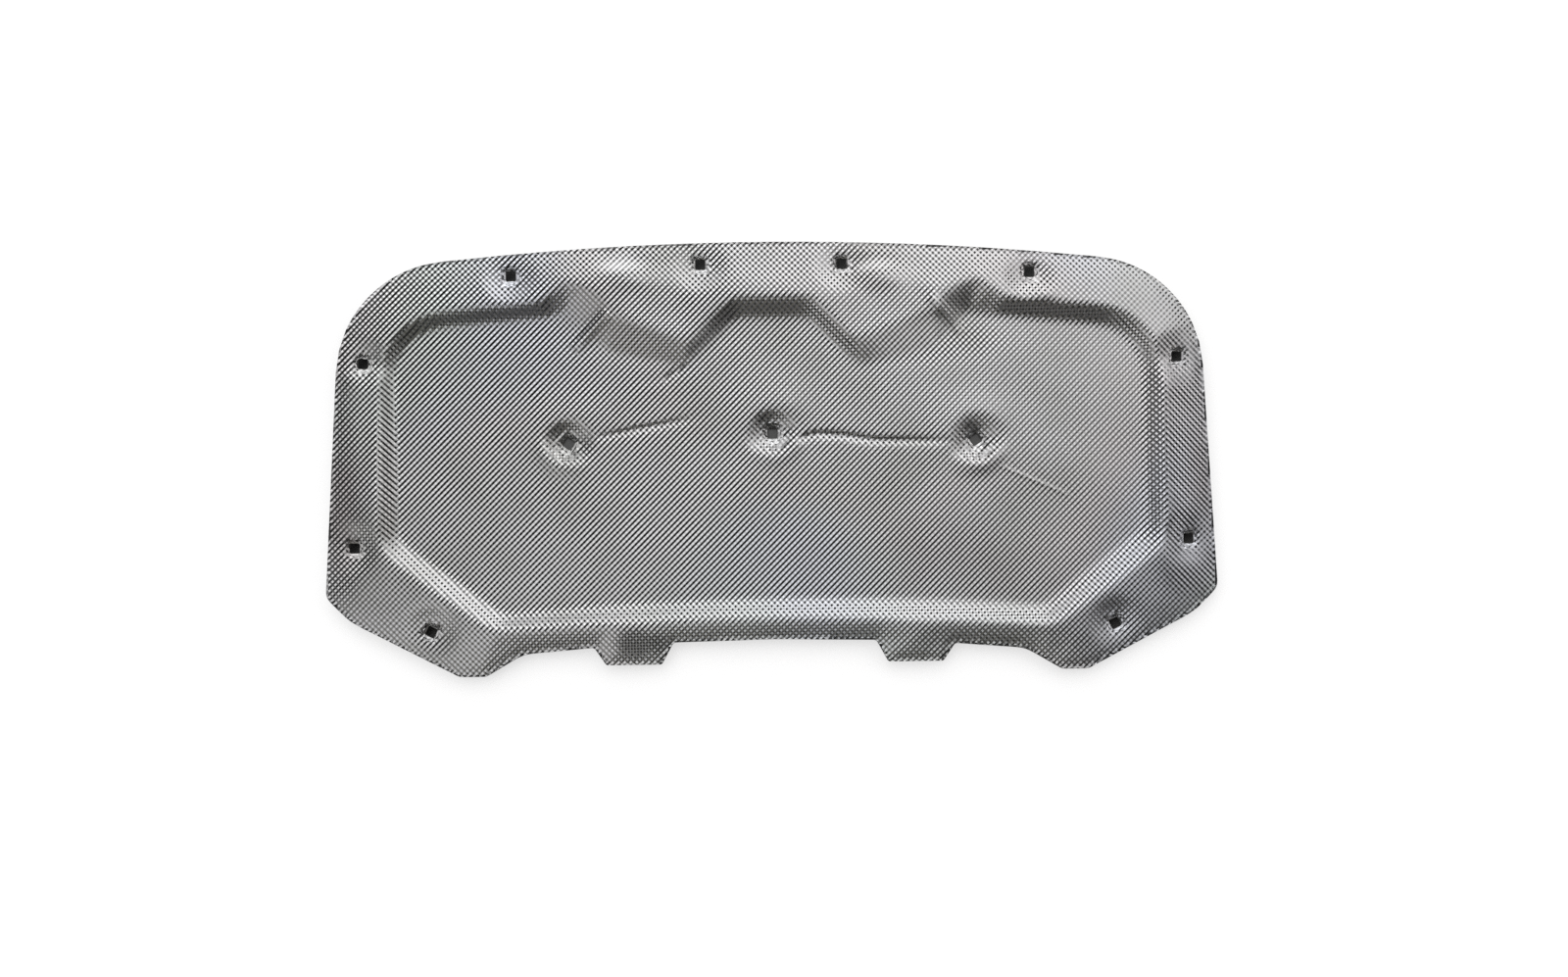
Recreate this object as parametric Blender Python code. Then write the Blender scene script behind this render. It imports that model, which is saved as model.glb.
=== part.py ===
# Hood insulation pad of a passenger car, lying with its foil face up.
#
# The real pad is one piece: fibre wadding and an embossed foil, pressed together in a hot
# tool and trimmed. A wide tray is pressed down inside a raised border. The front border
# keeps two lobes that reach into the tray, the rear edge carries two feet and two tabs, and
# square holes take the push-in clips that hold the pad under the bonnet.
#
# X runs across the car and +Y to the front edge. Z is up from the flat back of the tray,
# and the origin lies under the middle of the outline. All sizes are in metres.

from math import ceil, cos, pi, radians, sin, tan

import bmesh
import bpy
import numpy as np
from mathutils import Vector
from mathutils.geometry import delaunay_2d_cdt

# Outline, front edge and sides
PAD_LENGTH = 1.154                # between the rear corners
PAD_WIDTH = 0.557                 # crown of the front edge to the feet
CROWN_RISE = 0.020                # bow of the front edge
CROWN_HALF_LENGTH = 0.400         # the bow ends here and runs on straight
FRONT_CORNER_RADIUS = 0.150
SIDE_LEAN = radians(3.2)          # the sides lean in towards the front

# Outline, rear corners and feet
REAR_CORNER_HEIGHT = 0.104        # above the feet
REAR_CORNER_RADIUS = 0.018
SHOULDER_INSET = 0.030            # the corner is cut off to here, along X
SHOULDER_HEIGHT = 0.073           # above the feet
SHOULDER_RADIUS = 0.090
FOOT_OFFSET = 0.390               # middle of a foot from the centre line
FOOT_LENGTH = 0.034
FOOT_RADIUS = 0.012
HEEL_OFFSET = 0.325               # the foot's inner flank ends here
HEEL_RADIUS = 0.050

# Outline, rear edge and tabs
REAR_EDGE_HEIGHT = 0.0435         # middle of the rear edge above the feet
REAR_EDGE_BOW = 0.0155            # the edge drops by this much at the heels
TAB_OFFSET = 0.1825               # middle of a tab from the centre line
TAB_LENGTH = 0.071                # at its tip
TAB_FLARE = 0.0155                # each flank runs out by this much
TAB_DEPTH = 0.026
TAB_TIP_RADIUS = 0.004
TAB_ROOT_RADIUS = 0.006

# Crest of the border, where the tray's wall starts
SIDE_BORDER = 0.070
CORNER_BORDER = 0.093             # front edge to the crest's own front corners
TRAY_CORNER_RADIUS = 0.090
TRAY_SHOULDER_HEIGHT = 0.1675     # above the feet
TRAY_SHOULDER_RADIUS = 0.030
TRAY_HEEL_OFFSET = 0.359
TRAY_HEEL_RADIUS = 0.040
REAR_BORDER = 0.031               # rear edge to the crest, on the centre line
TRAY_REAR_BOW = 0.0135

# Front border: a bay in the middle, then on each side a lobe and a notch
BAY_BORDER = 0.070
BAY_HALF_LENGTH = 0.050
BAY_RADIUS = 0.020
LOBE_INNER_OFFSET = 0.106
LOBE_INNER_BORDER = 0.128
LOBE_OUTER_OFFSET = 0.214
LOBE_OUTER_BORDER = 0.086
LOBE_RADIUS = 0.014
NOTCH_INNER_BORDER = 0.063
NOTCH_TOP_OFFSET = 0.268
NOTCH_TOP_BORDER = 0.046
NOTCH_END_OFFSET = 0.300
NOTCH_END_BORDER = 0.075
NOTCH_RADIUS = 0.008

# Tray wall, as the run from its crest down to its foot
BAY_WALL = 0.029
LOBE_INNER_WALL = (0.006, 0.032)
LOBE_OUTER_WALL = (0.036, 0.050)
NOTCH_WALL = (0.036, 0.029)
CORNER_WALL = 0.021
SIDE_WALL = 0.022
SHOULDER_WALL = 0.003             # along Y, on top of the run of the side wall
HEEL_WALL = 0.007                 # along X, on top of the run of the rear wall
REAR_WALL = 0.013
WALL_FOOT_RADIUS = 0.066          # in the tray's front corners

# Section
FIELD_THICKNESS = 0.0095          # wadding in the tray
TRAY_DEPTH = 0.013                # crest above the tray
BORDER_THICKNESS = 0.006
BORDER_FALL = 0.009               # crest down to the trimmed edge
BORDER_CURVE = 1.4                # above 1 the border falls faster towards its edge
EDGE_THICKNESS = 0.003            # pressed hard for the trim
EDGE_PRESS_WIDTH = 0.008
BEND_WIDTH = 0.003                # of the bends at the wall's crest and foot
BEND_SHARE = 0.14                 # of the wall's run, bent at each end

# Clip holes and the seats pressed round them
CLIP_HOLE = 0.0133                # side of the square
CLIP_HOLE_RADIUS = 0.002
SEAT_THICKNESS = 0.003
SEAT_FLAT_RADIUS = 0.0115
BORDER_SEAT_DEPTH = 0.004
BORDER_SEAT_RADIUS = 0.036
CRATER_RADIUS = 0.037
FRONT_CLIP_OFFSETS = (0.0914, 0.3356)
FRONT_CLIP_SETBACK = 0.0275
SIDE_CLIP_HEIGHTS = (0.404, 0.167)    # above the feet
SIDE_CLIP_SETBACK = 0.034
FOOT_CLIP_OFFSET = 0.4427
FOOT_CLIP_SETBACK = 0.035
MIDDLE_CLIP_HEIGHT = 0.3095
OUTER_CLIP_OFFSET = 0.2647
OUTER_CLIP_HEIGHT = 0.299
OUTER_CLIP_TURN = radians(35)

# Creases left by handling, as start and end on the tray
CREASES = (
    ((-0.222, 0.029), (-0.106, 0.051)),
    ((0.038, 0.027), (0.090, 0.028), (0.130, 0.021), (0.222, 0.019)),
    ((-0.141, 0.101), (-0.108, 0.121)),
)
CREASE_DEPTH = 0.0013
CREASE_HALF_WIDTH = 0.005

# Fineness of the facets
ARC_STEP = radians(13)
LONGEST_SIDE = 0.032
FILL_PITCH = 0.042
FILL_CLEARANCE = 0.016
RING_SIDES = 20
CROWN_POINTS = 10
TRAY_REAR_POINTS = 6
SEAT_RINGS = 3
CRATER_RINGS = 6
SMALLEST_REACH = 0.0001           # a fillet that starts closer to its corner is left out
SHARED_SIDE_ROOM = 0.48           # share of a side for a fillet, with another at its far end
FREE_SIDE_ROOM = 0.96             # the same with no fillet at the far end
MERGE_DISTANCE = 0.000001
SHARP_ANGLE = radians(35)
TINY = 1e-9                       # keeps a division by nothing away

# Foil face
FOIL_COLOUR = (0.60, 0.60, 0.61, 1)
FOIL_ROUGHNESS = 0.38

# What follows from the sizes above
HALF_LENGTH = PAD_LENGTH / 2
FRONT_Y = PAD_WIDTH / 2
FEET_Y = -PAD_WIDTH / 2
REAR_CORNER_Y = FEET_Y + REAR_CORNER_HEIGHT
REAR_EDGE_Y = FEET_Y + REAR_EDGE_HEIGHT
CREST_X = HALF_LENGTH - SIDE_BORDER
SHOULDER = (HALF_LENGTH - SHOULDER_INSET, FEET_Y + SHOULDER_HEIGHT)
FOOT_TOE = (FOOT_OFFSET + FOOT_LENGTH / 2, FEET_Y)


def front_edge_y(x):
    # The front edge: a parabola over the crown, then its end tangent.
    share = min(abs(x) / CROWN_HALF_LENGTH, 1)
    straight = max(abs(x) - CROWN_HALF_LENGTH, 0)
    return FRONT_Y - CROWN_RISE * share ** 2 - 2 * CROWN_RISE / CROWN_HALF_LENGTH * straight


def side_edge_x(y):
    return HALF_LENGTH - (y - REAR_CORNER_Y) * tan(SIDE_LEAN)


def rear_edge_y(x):
    return REAR_EDGE_Y - REAR_EDGE_BOW * (x / HEEL_OFFSET) ** 2


def tray_rear_y(x):
    return REAR_EDGE_Y + REAR_BORDER - TRAY_REAR_BOW * (x / TRAY_HEEL_OFFSET) ** 2


def front_corner():
    # Where the straight end of the front edge meets the leaning side.
    slope = 2 * CROWN_RISE / CROWN_HALF_LENGTH
    lean = tan(SIDE_LEAN)
    start = FRONT_Y - CROWN_RISE + slope * CROWN_HALF_LENGTH
    x = (HALF_LENGTH - (start - REAR_CORNER_Y) * lean) / (1 - slope * lean)
    return x, start - slope * x


def outline_corners():
    # Right half of the trimmed outline as (x, y, corner radius), front to rear.
    corners = [(x, front_edge_y(x), 0) for x in np.linspace(0, CROWN_HALF_LENGTH, CROWN_POINTS)]
    corners.append((*front_corner(), FRONT_CORNER_RADIUS))
    corners.append((HALF_LENGTH, REAR_CORNER_Y, REAR_CORNER_RADIUS))
    corners.append((*SHOULDER, SHOULDER_RADIUS))
    corners.append((*FOOT_TOE, FOOT_RADIUS))
    corners.append((FOOT_OFFSET - FOOT_LENGTH / 2, FEET_Y, FOOT_RADIUS))
    corners.append((HEEL_OFFSET, rear_edge_y(HEEL_OFFSET), HEEL_RADIUS))
    outer_tip = TAB_OFFSET + TAB_LENGTH / 2
    inner_tip = TAB_OFFSET - TAB_LENGTH / 2
    tip_y = rear_edge_y(TAB_OFFSET) - TAB_DEPTH
    outer_root = outer_tip + TAB_FLARE
    inner_root = inner_tip - TAB_FLARE
    corners.append((outer_root, rear_edge_y(outer_root), TAB_ROOT_RADIUS))
    corners.append((outer_tip, tip_y, TAB_TIP_RADIUS))
    corners.append((inner_tip, tip_y, TAB_TIP_RADIUS))
    corners.append((inner_root, rear_edge_y(inner_root), TAB_ROOT_RADIUS))
    corners.append((0, rear_edge_y(0), 0))
    return corners


def crest_and_foot_corners():
    # Right half of the wall's crest and foot, as two lists of (x, y, corner radius).
    crest = [
        (0, FRONT_Y - BAY_BORDER, 0),
        (BAY_HALF_LENGTH, FRONT_Y - BAY_BORDER, BAY_RADIUS),
        (LOBE_INNER_OFFSET, FRONT_Y - LOBE_INNER_BORDER, LOBE_RADIUS),
        (LOBE_OUTER_OFFSET, FRONT_Y - LOBE_OUTER_BORDER, NOTCH_RADIUS),
        (LOBE_OUTER_OFFSET, FRONT_Y - NOTCH_INNER_BORDER, NOTCH_RADIUS),
        (NOTCH_TOP_OFFSET, FRONT_Y - NOTCH_TOP_BORDER, NOTCH_RADIUS),
        (NOTCH_END_OFFSET, FRONT_Y - NOTCH_END_BORDER, NOTCH_RADIUS),
        (CREST_X, FRONT_Y - CORNER_BORDER, TRAY_CORNER_RADIUS),
        (CREST_X, FEET_Y + TRAY_SHOULDER_HEIGHT, TRAY_SHOULDER_RADIUS),
        (TRAY_HEEL_OFFSET, tray_rear_y(TRAY_HEEL_OFFSET), TRAY_HEEL_RADIUS),
    ]
    foot = [
        (0, crest[0][1] - BAY_WALL, 0),
        (crest[1][0], crest[1][1] - BAY_WALL, BAY_RADIUS),
        (crest[2][0] + LOBE_INNER_WALL[0], crest[2][1] - LOBE_INNER_WALL[1], LOBE_RADIUS),
        (crest[3][0] + LOBE_OUTER_WALL[0], crest[3][1] - LOBE_OUTER_WALL[1], NOTCH_RADIUS),
        (crest[4][0] + NOTCH_WALL[0], crest[4][1] - NOTCH_WALL[1], NOTCH_RADIUS),
        (CREST_X - SIDE_WALL, crest[7][1] - CORNER_WALL, WALL_FOOT_RADIUS),
        (CREST_X - SIDE_WALL, crest[8][1] + SHOULDER_WALL, TRAY_SHOULDER_RADIUS),
        (TRAY_HEEL_OFFSET - HEEL_WALL, crest[9][1] + REAR_WALL, TRAY_HEEL_RADIUS),
    ]
    for x in np.linspace(TRAY_HEEL_OFFSET, 0, TRAY_REAR_POINTS + 1)[1:]:
        crest.append((x, tray_rear_y(x), 0))
        foot.append((x, tray_rear_y(x) + REAR_WALL, 0))
    return crest, foot


def mirrored(right_half):
    # A closed loop of corners from its right half, which starts and ends on the centre line.
    return right_half + [(-x, y, radius) for x, y, radius in right_half[-2:0:-1]]


def rounded_loop(corners):
    # Points of a closed loop: each corner becomes an arc, and long sides are divided.
    points = []
    for index, corner in enumerate(corners):
        following = corners[(index + 1) % len(corners)]
        at = Vector(corner[:2])
        back = Vector(corners[index - 1][:2]) - at
        ahead = Vector(following[:2]) - at
        turn = pi - back.angle(ahead)
        back_room = back.length * (SHARED_SIDE_ROOM if corners[index - 1][2] else FREE_SIDE_ROOM)
        ahead_room = ahead.length * (SHARED_SIDE_ROOM if following[2] else FREE_SIDE_ROOM)
        reach = min(corner[2] * tan(turn / 2), back_room, ahead_room)
        if reach < SMALLEST_REACH:
            points.append(at)
            continue
        middle = (back.normalized() + ahead.normalized()).normalized()
        centre = at + middle * (reach / sin(turn / 2))
        start = at + back.normalized() * reach - centre
        end = at + ahead.normalized() * reach - centre
        steps = max(2, ceil(turn / ARC_STEP))
        for step in range(steps + 1):
            along = step / steps * turn
            points.append(centre + (start * sin(turn - along) + end * sin(along)) / sin(turn))
    return divided(points, closed=True)


def divided(points, closed):
    # The same line with no side longer than LONGEST_SIDE.
    result = []
    ends = points[1:] + points[:1] if closed else points[1:]
    for point, following in zip(points, ends):
        count = ceil((following - point).length / LONGEST_SIDE)
        result += [point.lerp(following, step / count) for step in range(count)]
    return result if closed else result + [points[-1]]


def offset_loop(points, distance):
    # A copy of a clockwise loop, moved inwards by a small distance.
    result = []
    for index, point in enumerate(points):
        along = (points[(index + 1) % len(points)] - points[index - 1]).normalized()
        result.append(point + Vector((along.y, -along.x)) * distance)
    return result


def ring(centre, radius):
    return [Vector(centre) + Vector((cos(angle), sin(angle))) * radius
            for angle in np.linspace(0, 2 * pi, RING_SIDES, endpoint=False)]


def square_hole(centre, turn):
    corners = []
    for quarter in range(4):
        angle = turn + pi / 4 - quarter * pi / 2
        reach = CLIP_HOLE / 2 ** 0.5
        corners.append((centre[0] + reach * cos(angle), centre[1] + reach * sin(angle), CLIP_HOLE_RADIUS))
    return rounded_loop(corners)


def border_clips():
    # Places and turns of the clip holes in the border: the right-hand ones, then their mirror
    # images on the left.
    clips = [((x, front_edge_y(x) - FRONT_CLIP_SETBACK), 0) for x in FRONT_CLIP_OFFSETS]
    for height in SIDE_CLIP_HEIGHTS:
        y = FEET_Y + height
        clips.append(((side_edge_x(y) - SIDE_CLIP_SETBACK, y), 0))
    cut = Vector(SHOULDER) - Vector(FOOT_TOE)
    slope = cut.y / cut.x
    y = FEET_Y + (FOOT_CLIP_OFFSET - FOOT_TOE[0]) * slope + FOOT_CLIP_SETBACK * (1 + slope ** 2) ** 0.5
    clips.append(((FOOT_CLIP_OFFSET, y), cut.angle(Vector((1, 0)))))
    return clips + [((-x, y), -turn) for (x, y), turn in clips]


def crater_clips():
    outer_y = FEET_Y + OUTER_CLIP_HEIGHT
    return [
        ((0, FEET_Y + MIDDLE_CLIP_HEIGHT), 0),
        ((OUTER_CLIP_OFFSET, outer_y), OUTER_CLIP_TURN),
        ((-OUTER_CLIP_OFFSET, outer_y), -OUTER_CLIP_TURN),
    ]


def distance_to_line(places, line):
    # Distance of each place from a line of points.
    nearest = np.full(len(places), np.inf)
    for start, end in zip(line[:-1], line[1:]):
        side = end - start
        share = np.clip((places - start) @ side / max(side @ side, TINY ** 2), 0, 1)
        gap = places - start - share[:, None] * side
        nearest = np.minimum(nearest, np.hypot(gap[:, 0], gap[:, 1]))
    return nearest


def depth_inside(places, loop):
    # Distance of each place from a closed loop, negative outside it.
    line = np.array([*loop, loop[0]])
    crossings = np.zeros(len(places), int)
    for (x0, y0), (x1, y1) in zip(line[:-1], line[1:]):
        if y0 == y1:
            continue
        spans = (places[:, 1] < max(y0, y1)) & (places[:, 1] >= min(y0, y1))
        crossings += spans & (places[:, 0] < x0 + (places[:, 1] - y0) * (x1 - x0) / (y1 - y0))
    return distance_to_line(places, line) * np.where(crossings % 2 == 1, 1, -1)


def soft_step(share):
    # Runs from 0 to 1 and is level at both ends.
    share = np.clip(share, 0, 1)
    return share ** 2 * (3 - 2 * share)


def bent_ramp(share, bend=BEND_SHARE):
    # A straight slope from 0 to 1 with a short bend at each end.
    share = np.clip(share, 0, 1)
    lower = share ** 2 / (2 * bend)
    upper = 1 - bend - (1 - share) ** 2 / (2 * bend)
    slope = np.where(share < bend, lower, np.where(share > 1 - bend, upper, share - bend / 2))
    return slope / (1 - bend)


def pressed_section(places, outline, crest, foot):
    # Height of the foil face and thickness of the pad at each place, without seats.
    in_outline = np.maximum(depth_inside(places, outline), 0)
    in_crest = depth_inside(places, crest)
    in_foot = depth_inside(places, foot)
    wall_share = np.clip(-in_foot / np.maximum(in_crest - in_foot, TINY), 0, 1)
    wall_share = np.where(in_crest <= 0, 1, np.where(in_foot >= 0, 0, wall_share))
    outside = np.maximum(-in_crest, 0)
    border_share = outside / np.maximum(outside + in_outline, TINY)

    thickness = FIELD_THICKNESS + (BORDER_THICKNESS - FIELD_THICKNESS) * soft_step(wall_share)
    face = FIELD_THICKNESS + TRAY_DEPTH * bent_ramp(wall_share) - BORDER_FALL * border_share ** BORDER_CURVE
    pressed = (thickness - EDGE_THICKNESS) * (1 - soft_step(in_outline / EDGE_PRESS_WIDTH))
    return face - pressed / 2, thickness - pressed


def seat_share(places, centre, radius):
    # 1 on the flat seat round a clip hole, easing to 0 at the given radius.
    away = np.hypot(*(places - centre).T)
    return 1 - soft_step((away - SEAT_FLAT_RADIUS) / (radius - SEAT_FLAT_RADIUS))


def face_and_back(places, outline, crest, foot):
    # Heights of the foil face and of the back, with the seats and creases pressed in.
    face, thickness = pressed_section(places, outline, crest, foot)
    centres = np.array([centre for centre, _ in border_clips()])
    levels = pressed_section(centres, outline, crest, foot)[0] - BORDER_SEAT_DEPTH
    for centre, level in zip(centres, levels):
        sunk = seat_share(places, centre, BORDER_SEAT_RADIUS)
        face += (level - face) * sunk
        thickness += (SEAT_THICKNESS - thickness) * sunk
    for centre, _ in crater_clips():
        sunk = (FIELD_THICKNESS - SEAT_THICKNESS) * seat_share(places, centre, CRATER_RADIUS)
        face -= sunk
        thickness -= sunk
    for crease in CREASES:
        away = distance_to_line(places, np.array(crease))
        sunk = CREASE_DEPTH * (1 - soft_step(away / CREASE_HALF_WIDTH))
        face -= sunk
        thickness -= sunk
    return face, face - thickness


def fill_places(loops, outline):
    # Loose points between the lines, so that no facet grows too long.
    taken = np.array([point for loop in loops for point in loop])
    columns = np.arange(-HALF_LENGTH, HALF_LENGTH, FILL_PITCH)
    rows = np.arange(FEET_Y, FRONT_Y, FILL_PITCH)
    grid = np.array([(x, y) for x in columns for y in rows])
    grid = grid[depth_inside(grid, outline) > FILL_CLEARANCE]
    gaps = np.hypot(*(grid[:, None] - taken[None]).transpose(2, 0, 1)).min(axis=1)
    return [Vector(place) for place in grid[gaps > FILL_CLEARANCE]]


def crease_lines(crease):
    # The bottom of a crease and its two sides.
    points = divided([Vector(point) for point in crease], closed=False)
    lines = [points]
    for side in (-CREASE_HALF_WIDTH, CREASE_HALF_WIDTH):
        shifted = []
        for index, point in enumerate(points):
            along = points[min(index + 1, len(points) - 1)] - points[max(index - 1, 0)]
            shifted.append(point + Vector((along.y, -along.x)).normalized() * side)
        lines.append(shifted)
    return lines


def flat_plan(outline, crest, foot, holes):
    # Triangles of the pad's plan, with an edge along every bend, seat, crease and hole.
    loops = [outline, offset_loop(outline, EDGE_PRESS_WIDTH)]
    loops += [crest, offset_loop(crest, BEND_WIDTH), foot, offset_loop(foot, -BEND_WIDTH)]
    loops += holes
    for clips, radius, count in (
        (border_clips(), BORDER_SEAT_RADIUS, SEAT_RINGS),
        (crater_clips(), CRATER_RADIUS, CRATER_RINGS),
    ):
        radii = np.linspace(SEAT_FLAT_RADIUS, radius, count)
        loops += [ring(centre, radius) for centre, _ in clips for radius in radii]
    lines = [line for crease in CREASES for line in crease_lines(crease)]

    points = []
    edges = []
    for group, closed in ((loops, True), (lines, False)):
        for line in group:
            first = len(points)
            points += line
            edges += [(first + step, first + step + 1) for step in range(len(line) - 1)]
            if closed:
                edges.append((len(points) - 1, first))
    points += fill_places(loops + lines, outline)
    places, _, faces = delaunay_2d_cdt(points, edges, [], 0, MERGE_DISTANCE)[:3]

    places = np.array(places)
    middles = np.array([places[face].mean(axis=0) for face in faces])
    kept = depth_inside(middles, outline) > 0
    for hole in holes:
        kept &= depth_inside(middles, hole) < 0
    return places, [face for face, keep in zip(faces, kept) if keep]


def pad_mesh():
    # The plan is raised to two layers with a wall between, then both layers are pressed.
    outline = rounded_loop(mirrored(outline_corners()))
    crest, foot = [rounded_loop(mirrored(half)) for half in crest_and_foot_corners()]
    holes = [square_hole(centre, turn) for centre, turn in border_clips() + crater_clips()]
    places, faces = flat_plan(outline, crest, foot, holes)

    pad = bmesh.new()
    verts = [pad.verts.new((x, y, 0)) for x, y in places]
    for face in faces:
        pad.faces.new([verts[index] for index in face])
    loose = [vert for vert in pad.verts if not vert.link_faces]
    bmesh.ops.delete(pad, geom=loose, context="VERTS")
    bmesh.ops.recalc_face_normals(pad, faces=pad.faces)
    if pad.faces[:][0].normal.z > 0:
        bmesh.ops.reverse_faces(pad, faces=pad.faces)

    raised = bmesh.ops.extrude_face_region(pad, geom=pad.faces[:])["geom"]
    upper = [item for item in raised if isinstance(item, bmesh.types.BMVert)]
    lower = [vert for vert in pad.verts if vert not in set(upper)]
    for layer, height_of in ((upper, 0), (lower, 1)):
        layer_places = np.array([vert.co[:2] for vert in layer])
        heights = face_and_back(layer_places, outline, crest, foot)[height_of]
        for vert, height in zip(layer, heights):
            vert.co.z = height
    bmesh.ops.recalc_face_normals(pad, faces=pad.faces)
    mesh = bpy.data.meshes.new("hood_insulation_pad")
    pad.to_mesh(mesh)
    pad.free()
    return mesh


def foil_material():
    material = bpy.data.materials.new("embossed_foil")
    material.use_nodes = True
    shader = material.node_tree.nodes["Principled BSDF"]
    shader.inputs["Base Color"].default_value = FOIL_COLOUR
    shader.inputs["Metallic"].default_value = 1.0
    shader.inputs["Roughness"].default_value = FOIL_ROUGHNESS
    return material


def main():
    for old in list(bpy.data.objects):
        bpy.data.objects.remove(old)
    mesh = pad_mesh()
    mesh.materials.append(foil_material())
    mesh.shade_smooth()
    mesh.set_sharp_from_angle(angle=SHARP_ANGLE)
    collection = bpy.data.collections.new("hood_insulation_pad")
    bpy.context.scene.collection.children.link(collection)
    collection.objects.link(bpy.data.objects.new("hood_insulation_pad", mesh))


main()
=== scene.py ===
from math import cos, pi, radians, sin

import bmesh
import bpy
import numpy as np
from mathutils import Matrix, Vector
from mathutils.bvhtree import BVHTree
from mathutils.geometry import delaunay_2d_cdt


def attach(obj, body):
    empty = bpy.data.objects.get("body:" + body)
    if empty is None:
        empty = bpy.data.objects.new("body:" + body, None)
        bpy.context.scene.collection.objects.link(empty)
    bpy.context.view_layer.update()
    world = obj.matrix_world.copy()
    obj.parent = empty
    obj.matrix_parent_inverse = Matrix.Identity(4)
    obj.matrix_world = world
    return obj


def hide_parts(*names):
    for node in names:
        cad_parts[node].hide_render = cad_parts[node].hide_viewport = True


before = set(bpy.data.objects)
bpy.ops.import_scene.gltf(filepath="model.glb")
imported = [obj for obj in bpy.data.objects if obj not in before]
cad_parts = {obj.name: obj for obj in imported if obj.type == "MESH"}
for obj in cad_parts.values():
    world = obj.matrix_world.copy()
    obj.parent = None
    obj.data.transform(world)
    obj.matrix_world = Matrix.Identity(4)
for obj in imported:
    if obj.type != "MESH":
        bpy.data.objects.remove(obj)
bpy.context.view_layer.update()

padNode = "hood_insulation_pad"


# Reading the pressed form from the frame

reading = {
    "merge": 0.00001,        # the node's facets are joined again within this distance
    "wallNormal": 0.02,      # a trimmed wall is upright to within this
    "above": 0.1,            # heights are read from this far above or below
    "weld": 1e-7,            # points of a plan that are closer than this become one
    "tiny": 1e-9,            # keeps a length from being zero in a division
    "far": 1.0,              # stands for a distance that no longer matters
    "near": 0.01,            # distances to a trimmed edge matter up to this
    "rimPart": 64,           # points of the trimmed edges that are compared at once
}


def readPad():
    # The node as one joined mesh, for its edges and for reading heights
    pad = bmesh.new()
    pad.from_mesh(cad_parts[padNode].data)
    bmesh.ops.remove_doubles(pad, verts=pad.verts, dist=reading["merge"])
    pad.normal_update()
    return pad


def trimmedLoops(pad):
    # The upper rim of every trimmed wall, longest first: the outline, then the clip holes
    walls = {face for face in pad.faces if abs(face.normal.z) < reading["wallNormal"]}
    following = {}
    for edge in pad.edges:
        sides = edge.link_faces
        upright = [face for face in sides if face in walls]
        level = [face for face in sides if face not in walls and face.normal.z > 0]
        if len(upright) == 1 and len(level) == 1:
            for one, other in (edge.verts, reversed(edge.verts)):
                following.setdefault(one, []).append(other)
    # Walks along each rim from point to point, until no new one follows
    loops = []
    waiting = set(following)
    while waiting:
        start = min(waiting, key=lambda vert: vert.index)
        loop = [start]
        waiting.discard(start)
        while True:
            onward = [vert for vert in following[loop[-1]] if vert in waiting]
            if not onward:
                break
            loop.append(onward[0])
            waiting.discard(onward[0])
        loops.append(np.array([vert.co[:2] for vert in loop]))
    loops.sort(key=lambda loop: -np.ptp(loop[:, 0]))
    return loops


def smoothLoop(loop, step, sharp):
    # A closed line through the same points, round where it turns softly, in even steps
    count = len(loop)
    side = np.roll(loop, -1, 0) - loop
    before = np.roll(side, 1, 0)
    turn = np.arctan2(np.cross(before, side), (before * side).sum(1))
    slope = (np.roll(loop, -1, 0) - np.roll(loop, 1, 0)) / 2
    points = []
    for here in range(count):
        there = (here + 1) % count
        length = np.hypot(*side[here])
        tangents = []
        for corner in (here, there):
            tangent = slope[corner] / max(np.hypot(*slope[corner]), reading["tiny"]) * length
            tangents.append(side[here] if abs(turn[corner]) > sharp else tangent)
        steps = max(1, int(round(length / step)))
        for t in np.arange(steps) / steps:
            # a cubic curve that leaves and arrives along the two tangents
            points.append(
                (2 * t ** 3 - 3 * t ** 2 + 1) * loop[here]
                + (t ** 3 - 2 * t ** 2 + t) * tangents[0]
                + (3 * t ** 2 - 2 * t ** 3) * loop[there]
                + (t ** 3 - t ** 2) * tangents[1])
    return np.array(points)


def insideLoop(places, loop):
    # True for each place inside a closed line
    inside = ((places > loop.min(0)) & (places < loop.max(0))).all(1)
    x, y = places[inside].T
    crossings = np.zeros(len(x), int)
    for (x0, y0), (x1, y1) in zip(loop, np.roll(loop, -1, 0)):
        if y0 != y1:
            spans = (y < max(y0, y1)) & (y >= min(y0, y1))
            crossings += spans & (x < x0 + (y - y0) * (x1 - x0) / (y1 - y0))
    inside[inside] = crossings % 2 == 1
    return inside


def shiftedLoop(loop, distance):
    # A line that runs clockwise, moved inwards by a small distance
    along = np.roll(loop, -1, 0) - np.roll(loop, 1, 0)
    along /= np.maximum(np.hypot(*along.T), reading["tiny"])[:, None]
    return loop + np.stack([along[:, 1], -along[:, 0]], 1) * distance


def clockwise(loop):
    ends = np.roll(loop, -1, 0)
    twiceArea = (loop[:, 0] * ends[:, 1] - ends[:, 0] * loop[:, 1]).sum()
    return loop[::-1] if twiceArea > 0 else loop


def readHeights(tree, places, side):
    # Height of the node's face (side 1) or back (side -1) at each place
    start = reading["above"] * side
    heights = np.full(len(places), np.nan)
    for index, (x, y) in enumerate(places):
        hit = tree.ray_cast(Vector((x, y, start)), Vector((0, 0, -side)))[0]
        if hit is not None:
            heights[index] = hit.z
    return heights


def nearestHeights(places, knownPlaces, knownHeights):
    # Height at each place from the closest known one
    found = np.empty(len(places))
    for index, place in enumerate(places):
        found[index] = knownHeights[((knownPlaces - place) ** 2).sum(1).argmin()]
    return found


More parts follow.
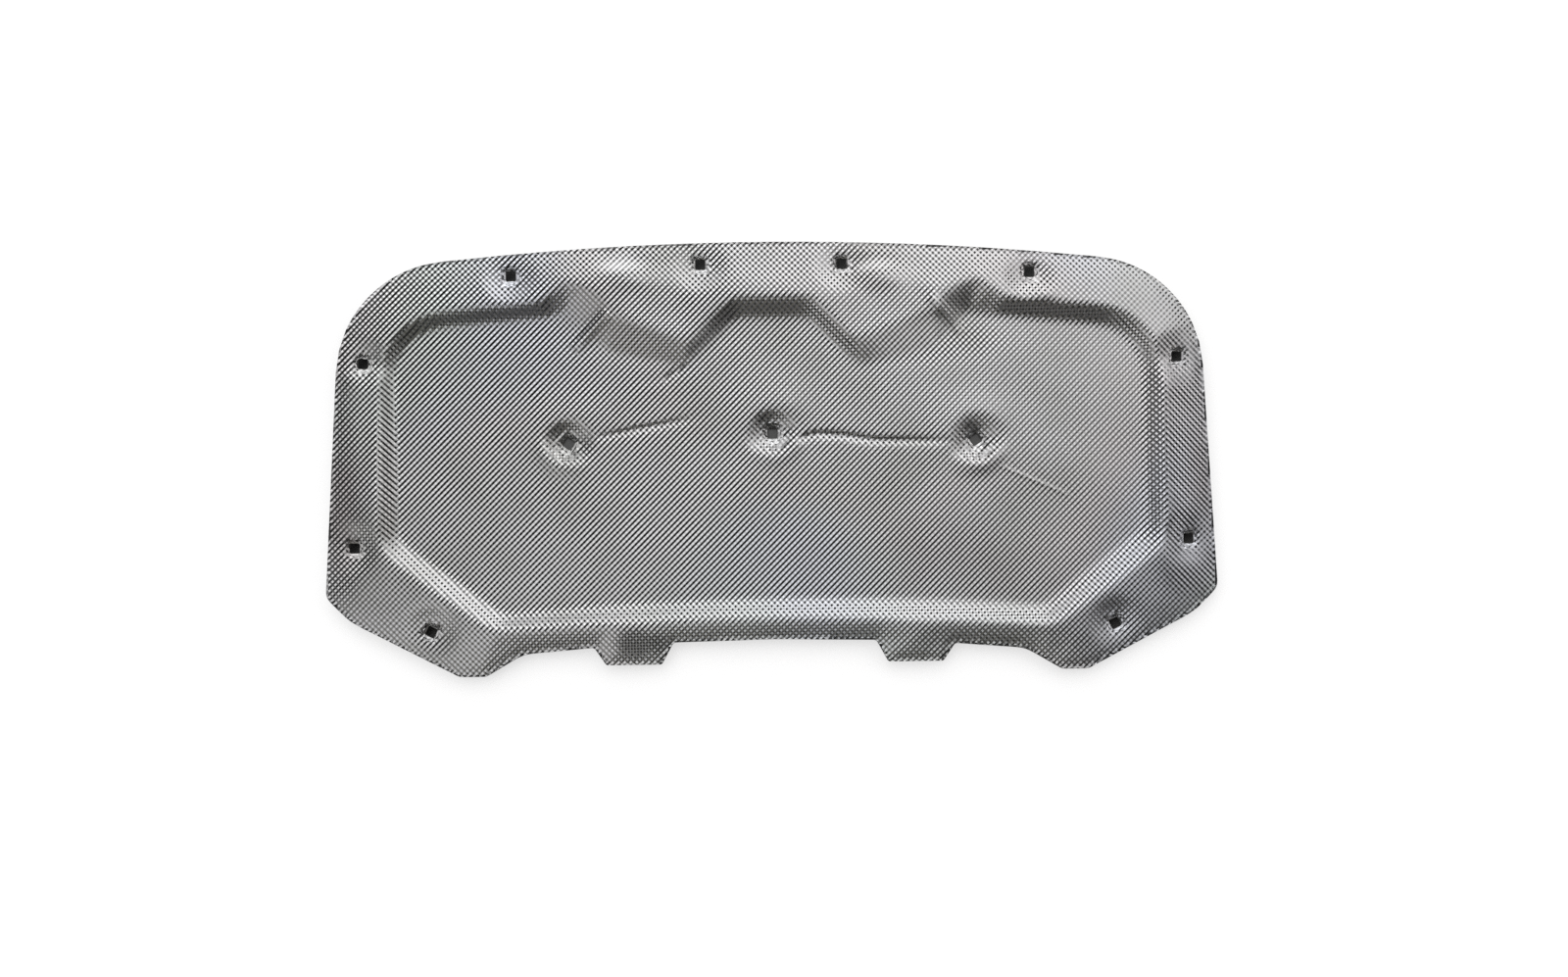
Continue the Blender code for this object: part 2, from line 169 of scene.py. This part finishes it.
def rimDistance(places, loops):
    # Distance to the nearest point of a trimmed edge, as far as it matters
    rim = np.concatenate(loops)
    away = np.full(len(places), reading["far"])
    for start in range(0, len(rim), reading["rimPart"]):
        part = rim[start:start + reading["rimPart"]]
        low = part.min(0) - reading["near"]
        high = part.max(0) + reading["near"]
        near = ((places > low) & (places < high)).all(1)
        gap = np.sqrt(((places[near][:, None] - part[None]) ** 2).sum(2)).min(1)
        away[near] = np.minimum(away[near], gap)
    return away


def lineDistance(places, line):
    # Distance to an open line, and how far along it the nearest point lies
    away = np.full(len(places), reading["far"])
    share = np.zeros(len(places))
    count = len(line) - 1
    for index in range(count):
        along = line[index + 1] - line[index]
        part = np.clip((places - line[index]) @ along / (along @ along), 0, 1)
        gap = np.hypot(*(places - line[index] - part[:, None] * along).T)
        nearer = gap < away
        away[nearer] = gap[nearer]
        share[nearer] = (index + part[nearer]) / count
    return away, share


def zoneShare(places, x, y, reachX, reachY):
    # 1 inside an oval zone and 0 outside it, with a soft border
    away = np.hypot(*((places - (x, y)) / (reachX, reachY)).T)
    return np.exp(-away ** 4)


def planFaces(places, loops):
    # Triangles over the places, with an edge along every loop
    points = [Vector(place) for place in places]
    edges = []
    for loop in loops:
        first = len(points)
        points += [Vector(place) for place in loop]
        edges += [(first + k, first + (k + 1) % len(loop)) for k in range(len(loop))]
    flat, _, faces, origins = delaunay_2d_cdt(points, edges, [], 0, reading["weld"])[:4]
    flat = np.array(flat)
    made = np.full(len(points), -1)      # which point of the plan each given point became
    for index, given in enumerate(origins):
        made[given] = index
    faces = np.array([face for face in faces if len(face) == 3])
    middles = flat[faces].mean(1)
    kept = insideLoop(middles, loops[0])
    for hole in loops[1:]:
        kept &= ~insideLoop(middles, hole)
    return flat, faces[kept], made


def upward(points, faces):
    # The same triangles, turned so that they face up
    a, b, c = points[faces[0]]
    return faces if np.cross(b - a, c - a)[2] > 0 else faces[:, ::-1]


def makeMesh(name, points, faces, material, smooth):
    mesh = bpy.data.meshes.new(name)
    mesh.from_pydata(points, [], faces)
    mesh.update()
    mesh.polygons.foreach_set("use_smooth", [smooth] * len(mesh.polygons))
    mesh.materials.append(material)
    piece = bpy.data.objects.new(name, mesh)
    bpy.context.scene.collection.objects.link(piece)
    return piece


# Effects and helpers that the materials share

def groupSockets(group, inputs, outputs):
    for name, kind, value in inputs:
        socket = group.interface.new_socket(name=name, in_out="INPUT", socket_type=kind)
        socket.default_value = value
    for name, kind in outputs:
        group.interface.new_socket(name=name, in_out="OUTPUT", socket_type=kind)


def mottleGroup():
    # Soft blotches that change over the surface, for stains, rubbing and tint
    group = bpy.data.node_groups.new("mottle", "ShaderNodeTree")
    groupSockets(group, [
        ("Scale", "NodeSocketFloat", 10.0), ("Detail", "NodeSocketFloat", 4.0),
        ("Low", "NodeSocketFloat", 0.4), ("High", "NodeSocketFloat", 0.6),
    ], [("Mask", "NodeSocketFloat")])
    nodes, links = group.nodes, group.links
    start = nodes.new("NodeGroupInput")
    end = nodes.new("NodeGroupOutput")
    place = nodes.new("ShaderNodeTexCoord")
    noise = nodes.new("ShaderNodeTexNoise")
    ramp = nodes.new("ShaderNodeMapRange")
    ramp.interpolation_type = "SMOOTHSTEP"
    links.new(place.outputs["Object"], noise.inputs["Vector"])
    links.new(start.outputs["Scale"], noise.inputs["Scale"])
    links.new(start.outputs["Detail"], noise.inputs["Detail"])
    links.new(noise.outputs["Fac"], ramp.inputs["Value"])
    links.new(start.outputs["Low"], ramp.inputs["From Min"])
    links.new(start.outputs["High"], ramp.inputs["From Max"])
    links.new(ramp.outputs["Result"], end.inputs["Mask"])
    return group


def patchGroup():
    # A soft round patch at a place on the surface, with an uneven border
    group = bpy.data.node_groups.new("patch", "ShaderNodeTree")
    groupSockets(group, [
        ("Centre", "NodeSocketVector", (0, 0, 0)), ("Reach", "NodeSocketVector", (1, 1, 1)),
        ("Strength", "NodeSocketFloat", 1.0), ("Noise Scale", "NodeSocketFloat", 25.0),
    ], [("Mask", "NodeSocketFloat")])
    nodes, links = group.nodes, group.links
    start = nodes.new("NodeGroupInput")
    end = nodes.new("NodeGroupOutput")
    place = nodes.new("ShaderNodeTexCoord")
    noise = nodes.new("ShaderNodeTexNoise")
    links.new(place.outputs["Object"], noise.inputs["Vector"])
    links.new(start.outputs["Noise Scale"], noise.inputs["Scale"])
    away = nodes.new("ShaderNodeVectorMath")
    away.operation = "SUBTRACT"
    links.new(place.outputs["Object"], away.inputs[0])
    links.new(start.outputs["Centre"], away.inputs[1])
    shares = nodes.new("ShaderNodeVectorMath")
    shares.operation = "DIVIDE"
    links.new(away.outputs[0], shares.inputs[0])
    links.new(start.outputs["Reach"], shares.inputs[1])
    length = nodes.new("ShaderNodeVectorMath")
    length.operation = "LENGTH"
    links.new(shares.outputs[0], length.inputs[0])
    uneven = nodes.new("ShaderNodeMath")
    links.new(length.outputs["Value"], uneven.inputs[0])
    links.new(noise.outputs["Fac"], uneven.inputs[1])
    fade = nodes.new("ShaderNodeMapRange")
    fade.interpolation_type = "SMOOTHSTEP"
    fade.inputs["From Min"].default_value = 1.5      # the reach, plus the noise's mean of a half
    fade.inputs["From Max"].default_value = 0.5      # the centre, plus the same
    links.new(uneven.outputs[0], fade.inputs["Value"])
    links.new(start.outputs["Strength"], fade.inputs["To Max"])
    links.new(fade.outputs["Result"], end.inputs["Mask"])
    return group


def newMaterial(name):
    material = bpy.data.materials.new(name)
    material.use_nodes = True
    tree = material.node_tree
    return material, tree.nodes, tree.links, tree.nodes["Principled BSDF"]


def placeGroup(nodes, group, **values):
    node = nodes.new("ShaderNodeGroup")
    node.node_tree = group
    for name, value in values.items():
        node.inputs[name].default_value = value
    return node


def mixColours(nodes, links, factor, first, second, blend="MIX"):
    # Each of the three is a value or the socket that it comes from
    mix = nodes.new("ShaderNodeMix")
    mix.data_type = "RGBA"
    mix.blend_type = blend
    colourSockets = (mix.inputs[0], mix.inputs[6], mix.inputs[7])
    for socket, value in zip(colourSockets, (factor, first, second)):
        if isinstance(value, bpy.types.NodeSocket):
            links.new(value, socket)
        else:
            socket.default_value = value
    return mix.outputs[2]


def spread(nodes, links, source, low, high):
    # A mask of 0 to 1 spread over a range of values
    node = nodes.new("ShaderNodeMapRange")
    node.inputs["To Min"].default_value = low
    node.inputs["To Max"].default_value = high
    links.new(source, node.inputs["Value"])
    return node.outputs["Result"]


def bumpNormal(nodes, links, height, distance, shader):
    bump = nodes.new("ShaderNodeBump")
    bump.inputs["Distance"].default_value = distance
    links.new(height, bump.inputs["Height"])
    links.new(bump.outputs["Normal"], shader.inputs["Normal"])


def seenBy(nodes, links, *rays):
    # 1 for the kinds of ray that are named, and 0 for all others
    path = nodes.new("ShaderNodeLightPath")
    total = path.outputs[rays[0]]
    for name in rays[1:]:
        either = nodes.new("ShaderNodeMath")
        either.operation = "MAXIMUM"
        links.new(total, either.inputs[0])
        links.new(path.outputs[name], either.inputs[1])
        total = either.outputs[0]
    return total


# Embossed foil face

foil = {
    "pitch": 0.0055,         # of the embossing, along both of its directions
    "turn": 45,              # degrees from the front edge
    "ridges": (0.00062, 0.00092),    # height of the ridges in each direction
    "latticeReach": 1.5,     # in half lengths of the pad, because the lattice stands askew
    "edgeStep": 0.0027,      # spacing of the points along a trimmed edge
    "clearance": 0.0011,     # lattice points keep off the trimmed edges
    "sharpTurn": 32,         # degrees; a trimmed edge turns sharply above this
    "softening": 5,          # rounds of easing the bends of the pressed form
    # further rounds of it in some places, fewest first: rounds, x, y, reach along x and y
    "eased": (
        (12, 0.0, -0.203, 0.44, 0.026),
        (12, -0.437, -0.149, 0.11, 0.075),
        (12, 0.452, -0.149, 0.11, 0.075),
        (12, -0.086, 0.165, 0.035, 0.045),
        (60, -0.240, 0.178, 0.030, 0.034),
    ),
    "wallRidges": 0.5,       # the ridges stand higher on a wall, by this times its slope
    "flatRim": 0.0016,       # the embossing fades out towards the trim
    # where one set of ridges stands out: x, y, reach along x and along y, share of each set
    "pressed": (
        (0.535, 0.020, 0.038, 0.125, 1.7, 0.45),
        (-0.496, 0.000, 0.015, 0.095, 1.7, 0.50),
        (-0.562, -0.138, 0.030, 0.045, 1.5, 0.60),
        (-0.180, -0.238, 0.032, 0.020, 1.5, 0.50),
        (0.545, -0.150, 0.040, 0.035, 1.4, 0.70),
        (-0.192, 0.252, 0.044, 0.017, 0.40, 0.60),
        (0.137, 0.251, 0.034, 0.016, 0.40, 0.60),
        (0.200, 0.150, 0.100, 0.032, 0.90, 1.50),
        (-0.170, 0.150, 0.100, 0.032, 0.90, 1.30),
    ),
    "sway": 0.0004,          # slow unevenness of the pressed sheet
    "swayLength": 0.055,
    # its waves: how steep along x and along y, and where each starts
    "swayWaves": (
        (0.31, 0.12, 0.4), (-0.17, 0.27, 1.9), (0.11, 0.44, 4.1),
        (0.47, -0.21, 2.6), (0.23, 0.39, 5.2),
    ),
    # where the laminate stands proud, or low: x, y, reach along x and along y, height
    "swells": (
        (-0.190, 0.236, 0.046, 0.017, 0.0042),
        (0.140, 0.235, 0.036, 0.017, 0.0042),
        (0.345, 0.209, 0.018, 0.009, 0.0020),
        (0.000, 0.214, 0.340, 0.026, 0.0022),
        (0.510, 0.000, 0.024, 0.130, 0.0026),
        (-0.508, -0.080, 0.024, 0.060, 0.0016),
        (-0.508, 0.080, 0.024, 0.070, -0.0030),
    ),
    # banks round the clip holes: centre, radius, width inside and outside,
    # direction and spread in degrees, height
    "banks": (
        (-0.2674, 0.0236, 0.027, 0.0070, 0.014, -112, 62, 0.0036),
        (-0.0004, 0.0343, 0.026, 0.0070, 0.014, -72, 60, 0.0034),
        (0.2636, 0.0184, 0.026, 0.0070, 0.014, -70, 62, 0.0034),
        (-0.533, 0.131, 0.026, 0.0090, 0.016, -75, 50, 0.0024),
        (-0.2674, 0.0236, 0.028, 0.0110, 0.034, 100, 80, 0.0018),
        (-0.0004, 0.0343, 0.030, 0.0120, 0.034, 110, 80, 0.0020),
        (0.2636, 0.0184, 0.026, 0.0110, 0.034, 110, 80, 0.0018),
    ),
    # creases: half width, height, and the line's points
    "creases": (
        (0.0042, -0.0016, ((-0.228, 0.028), (-0.106, 0.051))),
        (0.0042, -0.0019, (
            (0.030, 0.022), (0.055, 0.030), (0.090, 0.028), (0.130, 0.021), (0.232, 0.019))),
        (0.0040, -0.0012, ((-0.141, 0.101), (-0.108, 0.121))),
        (0.0075, 0.0034, ((-0.2560, 0.1404), (-0.2086, 0.1893))),
        (0.0065, 0.0028, ((0.2043, 0.2069), (0.2476, 0.1577))),
        (0.0022, 0.0005, ((0.295, -0.014), (0.384, -0.053))),
    ),
    "holeRings": (0.0013, 0.0027, 0.0043),     # points round a hole, this far from its edge
    "dimple": (0.0022, 0.0028),      # the foil dips this deep into a hole, over this distance
    "skin": 0.0002,          # the fibre ends this far below the foil at the cut edge
    "colour": (0.64, 0.64, 0.645, 1),
    # tints over it, the first one dull, then warm, green and blue: colour and blotches
    "tints": (
        ((0.56, 0.56, 0.55, 1), {"Scale": 9.0, "Detail": 5.0, "Low": 0.42, "High": 0.72}),
        ((0.64, 0.61, 0.61, 1), {"Scale": 3.1, "Detail": 2.0, "Low": 0.45, "High": 0.75}),
        ((0.60, 0.64, 0.61, 1), {"Scale": 2.3, "Detail": 1.0, "Low": 0.52, "High": 0.72}),
        ((0.61, 0.62, 0.66, 1), {"Scale": 2.7, "Detail": 1.0, "Low": 0.52, "High": 0.72}),
    ),
    "tarnish": (0.46, 0.42, 0.42, 1),
    # where the foil is tarnished: centre, reach and how strongly
    "tarnished": (
        ((-0.552, -0.060, 0), (0.040, 0.130, 1), 0.75),
        ((0.556, -0.030, 0), (0.032, 0.100, 1), 0.45),
        ((0.270, -0.130, 0), (0.170, 0.090, 1), 0.30),
    ),
    "roughness": (0.15, 0.21),       # from bright places to rubbed ones
    "rubs": {"Scale": 38.0, "Detail": 4.0, "Low": 0.35, "High": 0.70},
    "wrinkle": 0.00006,      # height of the finest wrinkles
    "wrinkles": {"Scale": 420.0, "Detail": 3.0, "Low": 0.2, "High": 0.8},
}


def latticeAxes():
    turn = radians(foil["turn"])
    return np.array([[cos(turn), sin(turn)], [sin(turn), -cos(turn)]])


def ridgeHeight(places):
    # Two crossing sets of straight ridges, which make a field of small pyramids
    along = places @ latticeAxes().T / foil["pitch"]
    ridges = (np.abs((along % 1) * 2 - 1) - 0.5) * foil["ridges"]
    for x, y, reachX, reachY, *shares in foil["pressed"]:
        zone = zoneShare(places, x, y, reachX, reachY)
        ridges *= 1 + zone[:, None] * (np.array(shares) - 1)
    return ridges.sum(1)


def sway(places):
    # Slow unevenness, as a sum of long waves
    x, y = places.T
    waves = foil["swayWaves"]
    total = sum(
        np.sin(2 * pi * (x * a + y * b) / foil["swayLength"] + phase) for a, b, phase in waves)
    return total / len(waves) * foil["sway"]


def marks(places):
    # The swells, banks and creases that the photo shows
    raised = np.zeros(len(places))
    for x, y, reachX, reachY, height in foil["swells"]:
        away = ((places - (x, y)) / (reachX, reachY)) ** 2
        raised += height * np.exp(-away.sum(1))
    for x, y, radius, inside, outside, turn, fan, height in foil["banks"]:
        across, ahead = (places - (x, y)).T
        away = np.hypot(across, ahead) - radius
        swing = (np.degrees(np.arctan2(ahead, across)) - turn + 180) % 360 - 180
        width = np.where(away < 0, inside, outside)
        raised += height * np.exp(-(away / width) ** 2 - (swing / fan) ** 4)
    for width, height, line in foil["creases"]:
        away, share = lineDistance(places, np.array(line))
        run = np.sqrt(4 * share * (1 - share))      # a crease fades out towards its ends
        raised += height * np.exp(-(away / width) ** 2) * run
    return raised


def softened(grid, rounds):
    # Averages each point of a lattice with its neighbours, where there are any
    for _ in range(rounds):
        for axis in (0, 1):
            known = ~np.isnan(grid)
            filled = np.where(known, grid, 0)
            total = filled * 2
            weight = known * 2.0
            for shift in (-1, 1):
                total += np.roll(filled, shift, axis)
                weight += np.roll(known, shift, axis)
            grid = np.where(known, total / np.maximum(weight, 1), np.nan)
    return grid


def faceLattice(outline, holes):
    # The points of the lattice that lie on the pad, with their softened heights and slopes
    step = foil["pitch"] / 2
    reach = int(np.abs(outline).max() * foil["latticeReach"] / step) + 2
    count = 2 * reach + 1
    index = np.arange(-reach, reach + 1)
    i, j = np.meshgrid(index, index, indexing="ij")
    places = np.stack([i.ravel(), j.ravel()], 1) * step @ latticeAxes()
    kept = insideLoop(places, shiftedLoop(outline, foil["clearance"]))
    for hole in holes:
        kept &= ~insideLoop(places, shiftedLoop(hole, -foil["holeRings"][-1] - foil["clearance"]))
    heights = np.full(count * count, np.nan)
    heights[kept] = readHeights(padTree, places[kept], 1)
    grid = softened(heights.reshape(count, count), foil["softening"])
    softer = grid
    done = 0
    for rounds, x, y, reachX, reachY in foil["eased"]:
        softer = softened(softer, rounds - done)
        done = rounds
        zone = zoneShare(places, x, y, reachX, reachY)
        grid = grid + (softer - grid) * zone.reshape(count, count)
    slopes = np.nan_to_num(np.hypot(*np.gradient(grid, step))).ravel()
    heights = grid.ravel()
    kept &= ~np.isnan(heights)
    rings = np.concatenate(
        [shiftedLoop(hole, -offset) for hole in holes for offset in foil["holeRings"]])
    places = np.concatenate([places[kept], rings])
    heights = np.concatenate([heights[kept], readHeights(padTree, rings, 1)])
    return places, heights, np.concatenate([slopes[kept], np.zeros(len(rings))])


def makeFace(material, outline, holes):
    # The foil, and the height of its trimmed edge for the back to meet
    places, heights, slopes = faceLattice(outline, holes)
    flat, faces, made = planFaces(places, [outline, *holes])
    base = np.full(len(flat), np.nan)
    base[made[:len(places)]] = heights
    onRim = np.isnan(base)
    base[onRim] = nearestHeights(flat[onRim], places, heights)
    steep = np.zeros(len(flat))
    steep[made[:len(places)]] = slopes
    ridges = ridgeHeight(flat) * (1 + foil["wallRidges"] * steep)
    fade = np.clip(rimDistance(flat, [outline, *holes]) / foil["flatRim"], 0, 1)
    depth, reach = foil["dimple"]
    dip = depth * np.exp(-rimDistance(flat, holes) / reach)
    z = base + (ridges + sway(flat) + marks(flat)) * fade - dip
    points = np.column_stack([flat, z])
    faces = upward(points, faces)
    rim = (base - dip)[made[len(places):]]
    return makeMesh("foil_face", points.tolist(), faces.tolist(), material, False), rim


def foilMaterial(mottle, patch):
    material, nodes, links, shader = newMaterial("embossedFoil")
    colour = foil["colour"]
    for tint, blotches in foil["tints"]:
        area = placeGroup(nodes, mottle, **blotches)
        colour = mixColours(nodes, links, area.outputs["Mask"], colour, tint)
    for centre, reach, strength in foil["tarnished"]:
        area = placeGroup(nodes, patch, Centre=centre, Reach=reach, Strength=strength)
        colour = mixColours(nodes, links, area.outputs["Mask"], colour, foil["tarnish"])
    links.new(colour, shader.inputs["Base Color"])
    rubs = placeGroup(nodes, mottle, **foil["rubs"])
    roughness = spread(nodes, links, rubs.outputs["Mask"], *foil["roughness"])
    links.new(roughness, shader.inputs["Roughness"])
    wrinkles = placeGroup(nodes, mottle, **foil["wrinkles"])
    bumpNormal(nodes, links, wrinkles.outputs["Mask"], foil["wrinkle"], shader)
    shader.inputs["Metallic"].default_value = 1.0
    return material


# Pressed fibre back

fibre = {
    "spacing": 0.008,        # of the points on the back
    "bulge": 0.0006,         # the trimmed edge stands out by this much at its middle
    "colour": (0.075, 0.072, 0.068, 1),
    "tuftColour": (0.17, 0.165, 0.155, 1),
    "tufts": {"Scale": 160.0, "Detail": 6.0, "Low": 0.35, "High": 0.65},
    "tuftHeight": 0.0006,
    "fleckColour": (0.30, 0.29, 0.27, 1),
    "flecks": {"Scale": 900.0, "Detail": 3.0, "Low": 0.55, "High": 0.70},
    "roughness": 0.95,
}


def fibreMaterial(mottle):
    material, nodes, links, shader = newMaterial("pressedFibre")
    tufts = placeGroup(nodes, mottle, **fibre["tufts"]).outputs["Mask"]
    flecks = placeGroup(nodes, mottle, **fibre["flecks"]).outputs["Mask"]
    tufted = mixColours(nodes, links, tufts, fibre["colour"], fibre["tuftColour"])
    flecked = mixColours(nodes, links, flecks, tufted, fibre["fleckColour"])
    links.new(flecked, shader.inputs["Base Color"])
    bumpNormal(nodes, links, tufts, fibre["tuftHeight"], shader)
    shader.inputs["Roughness"].default_value = fibre["roughness"]
    return material


def makeBack(material, outline, holes, rimHeights):
    # The fleece side, over the back and up the cut to the foil's trimmed edge
    step = fibre["spacing"]
    low = outline.min(0)
    high = outline.max(0)
    columns = np.arange(low[0], high[0], step)
    rows = np.arange(low[1], high[1], step)
    grid = np.array([(x, y) for x in columns for y in rows])
    kept = insideLoop(grid, shiftedLoop(outline, step / 2))
    for hole in holes:
        kept &= ~(np.hypot(*(grid - hole.mean(0)).T) < np.ptp(hole[:, 0]) / 2 + step)
    places = grid[kept]
    loops = [outline, *holes]
    flat, faces, made = planFaces(places, loops)
    heights = readHeights(padTree, flat, -1)
    missing = np.isnan(heights)
    heights[missing] = nearestHeights(flat[missing], flat[~missing], heights[~missing])
    points = np.column_stack([flat, heights])
    faces = upward(points, faces)[:, ::-1].tolist()
    points = points.tolist()
    start = 0
    for loop in loops:
        end = start + len(loop)
        ring = made[len(places) + start:len(places) + end].tolist()
        tops = rimHeights[start:end] - foil["skin"]
        start = end
        swollen = shiftedLoop(loop, -fibre["bulge"] if loop is outline else fibre["bulge"])
        middleRing = []
        topRing = []
        for index, place, out, top in zip(ring, loop, swollen, tops):
            middleRing.append(len(points))
            points.append([*out, (top + points[index][2]) / 2])
            topRing.append(len(points))
            points.append([*place, top])
        for k in range(len(ring)):
            after = (k + 1) % len(ring)
            for lower, upper in ((ring, middleRing), (middleRing, topRing)):
                quad = [lower[k], lower[after], upper[after], upper[k]]
                faces.append(quad[::-1] if loop is outline else quad)
    return makeMesh("fibre_back", points, faces, material, True)


# Floor

stage = {
    "radius": 55,            # metres, so that its border lies near the horizon
    "drop": 0.0006,          # below the pad's flat back
    "colour": (0.86, 0.86, 0.86, 1),
    "roughness": 0.9,
    "glow": 0.65,            # shown by the floor itself, to the camera and in gloss
    "covered": 0.012,        # this far inside the outline the floor lies in the pad's shade
    "coveredStep": 4,        # the covered part follows every so many points of the outline
    "shade": (0.20, 0.20, 0.20, 1),      # painted shade: the floor's dark colour there, in place of the pad's shadow
    "backdrop": (1.0, 1.0, 1.0, 1),
}


def mattMaterial(name, colour):
    material, nodes, links, shader = newMaterial(name)
    shader.inputs["Base Color"].default_value = colour
    shader.inputs["Roughness"].default_value = stage["roughness"]
    shader.inputs["Specular IOR Level"].default_value = 0.0
    return material, nodes, links, shader


def floorMaterial():
    material, nodes, links, shader = mattMaterial("paleFloor", stage["colour"])
    shown = seenBy(nodes, links, "Is Camera Ray", "Is Glossy Ray", "Is Transmission Ray")
    glow = nodes.new("ShaderNodeMath")
    glow.operation = "MULTIPLY"
    glow.inputs[1].default_value = stage["glow"]
    links.new(shown, glow.inputs[0])
    shader.inputs["Emission Color"].default_value = (1, 1, 1, 1)
    links.new(glow.outputs[0], shader.inputs["Emission Strength"])
    return material


def makeFloor(outline):
    # One plane, which doesn't glow where the pad covers it and carries painted shade there, a
    # dark colour in place of the pad's shadow, so that the holes stay dark
    reach = stage["radius"]
    corners = np.array([(-reach, -reach), (-reach, reach), (reach, reach), (reach, -reach)])
    covered = shiftedLoop(outline, stage["covered"])[::stage["coveredStep"]]
    flat, faces, _ = planFaces(covered, [corners])
    paintedShadeFaces = insideLoop(flat[faces].mean(1), covered)
    points = np.column_stack([flat, np.full(len(flat), -stage["drop"])])
    faces = upward(points, faces)
    floor = makeMesh("floor", points.tolist(), faces.tolist(), floorMaterial(), False)
    # painted shade: the floor beneath the pad gets a dark colour that stands in for its shadow
    floor.data.materials.append(mattMaterial("paintedShadeFloor", stage["shade"])[0])
    floor.data.polygons.foreach_set("material_index", paintedShadeFaces.astype(int))


# Light

skyLights = {
    "base": (0.02, 0.02, 0.019),     # the sky between the lights
    # overhead the sky is darker: azimuth, angle, core and edge radius, and by how much
    "shade": (340, 12, 18, 34, 0.8),
    # soft lights, in degrees: azimuth from +X and angle from straight above,
    # core and edge radius, strength, colour
    "lights": (
        (127, 49, 14, 60, 0.78, (1.0, 1.0, 1.0)),
        (96, 85, 4, 50, 1.14, (0.99, 1.0, 1.0)),
        (14, 81, 8, 38, 0.58, (1.0, 0.97, 0.96)),
        (38, 64, 9, 32, 0.75, (1.0, 0.99, 0.98)),
        (178, 59, 6, 31, 0.32, (1.0, 0.98, 0.99)),
        (79, 32, 8, 34, 0.22, (1.0, 1.0, 1.0)),
        (262, 86, 16, 36, 0.14, (1.0, 0.97, 0.84)),
        (242, 78, 8, 28, 0.20, (1.0, 1.0, 1.0)),
        (318, 84, 8, 26, 0.16, (1.0, 0.95, 0.91)),
        (315, 33, 6, 20, 0.70, (1.0, 1.0, 1.0)),     # seen mostly from behind
    ),
}


def skyPatch(nodes, links, direction, azimuth, angle, core, edge):
    # A soft round patch of the sky, 1 inside its core and 0 beyond its edge
    tilt = radians(angle)
    turn = radians(azimuth)
    dot = nodes.new("ShaderNodeVectorMath")
    dot.operation = "DOT_PRODUCT"
    dot.inputs[1].default_value = (sin(tilt) * cos(turn), sin(tilt) * sin(turn), cos(tilt))
    links.new(direction, dot.inputs[0])
    fade = nodes.new("ShaderNodeMapRange")
    fade.interpolation_type = "SMOOTHSTEP"
    fade.inputs["From Min"].default_value = cos(radians(edge))
    fade.inputs["From Max"].default_value = cos(radians(core))
    links.new(dot.outputs["Value"], fade.inputs["Value"])
    return fade.outputs["Result"]


def makeSky():
    world = bpy.data.worlds.new("studioSky")
    bpy.context.scene.world = world
    world.use_nodes = True
    nodes, links = world.node_tree.nodes, world.node_tree.links
    background = nodes["Background"]
    direction = nodes.new("ShaderNodeTexCoord").outputs["Generated"]
    total = None
    for azimuth, angle, core, edge, strength, colour in skyLights["lights"]:
        glow = skyPatch(nodes, links, direction, azimuth, angle, core, edge)
        add = nodes.new("ShaderNodeVectorMath")
        add.operation = "MULTIPLY_ADD"
        add.inputs[1].default_value = [share * strength for share in colour]
        links.new(glow, add.inputs[0])
        if total is None:
            add.inputs[2].default_value = skyLights["base"]
        else:
            links.new(total, add.inputs[2])
        total = add.outputs[0]
    *place, strength = skyLights["shade"]
    shade = skyPatch(nodes, links, direction, *place)
    dimmer = mixColours(nodes, links, shade, (1, 1, 1, 1), (1 - strength,) * 3 + (1,))
    total = mixColours(nodes, links, 1.0, total, dimmer, "MULTIPLY")
    # Beyond the floor lies a pale backdrop. The foil mirrors the soft lights instead of it,
    # because its dark stripes are the dark parts of the sky
    shown = seenBy(nodes, links, "Is Camera Ray", "Is Transmission Ray")
    total = mixColours(nodes, links, shown, total, stage["backdrop"])
    links.new(total, background.inputs["Color"])


# Camera

viewpoint = {
    "lens": 35.43,           # millimetres, as the sensor
    "sensor": 36,
    "distance": 2.0102,      # metres from the middle of the picture
    "target": (0.0140, -0.0406),     # the pad's place there
    "yaw": 1.27,             # degrees that the camera stands to the left
    "roll": 0.66,            # degrees that the picture is turned
}


def makeCamera():
    # Looks down on the pad, almost straight
    yaw = radians(viewpoint["yaw"])
    roll = radians(viewpoint["roll"])
    back = Vector((-sin(yaw), 0, cos(yaw)))
    across = Vector((cos(yaw), 0, sin(yaw)))
    ahead = Vector((0, 1, 0))
    right = across * cos(roll) - ahead * sin(roll)
    up = across * sin(roll) + ahead * cos(roll)
    data = bpy.data.cameras.new("camera")
    data.lens = viewpoint["lens"]
    data.sensor_width = viewpoint["sensor"]
    camera = bpy.data.objects.new("camera", data)
    matrix = Matrix((right, up, back)).transposed().to_4x4()
    matrix.translation = Vector((*viewpoint["target"], 0)) + back * viewpoint["distance"]
    camera.matrix_world = matrix
    bpy.context.scene.collection.objects.link(camera)
    bpy.context.scene.camera = camera


makeCamera()
makeSky()
bpy.context.scene.view_settings.view_transform = "Standard"
bpy.context.scene.cycles.use_denoising = False      # it would smear the fine embossing
print("sky and camera made")

pad = readPad()
padTree = BVHTree.FromBMesh(pad)
sharpTurn = radians(foil["sharpTurn"])
outline, *holes = [
    clockwise(smoothLoop(loop, foil["edgeStep"], sharpTurn)) for loop in trimmedLoops(pad)]
pad.free()
print("pad read:", len(holes), "clip holes")

makeFloor(outline)
print("floor made")

mottle = mottleGroup()
foilFace, rimHeights = makeFace(foilMaterial(mottle, patchGroup()), outline, holes)
print("foil face made:", len(foilFace.data.polygons), "triangles")

fibreBack = makeBack(fibreMaterial(mottle), outline, holes, rimHeights)
print("fibre back made:", len(fibreBack.data.polygons), "faces")

for piece, slot in ((foilFace, "embossed_foil"), (fibreBack, "fibre_back")):
    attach(piece, "root")
    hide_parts(padNode)
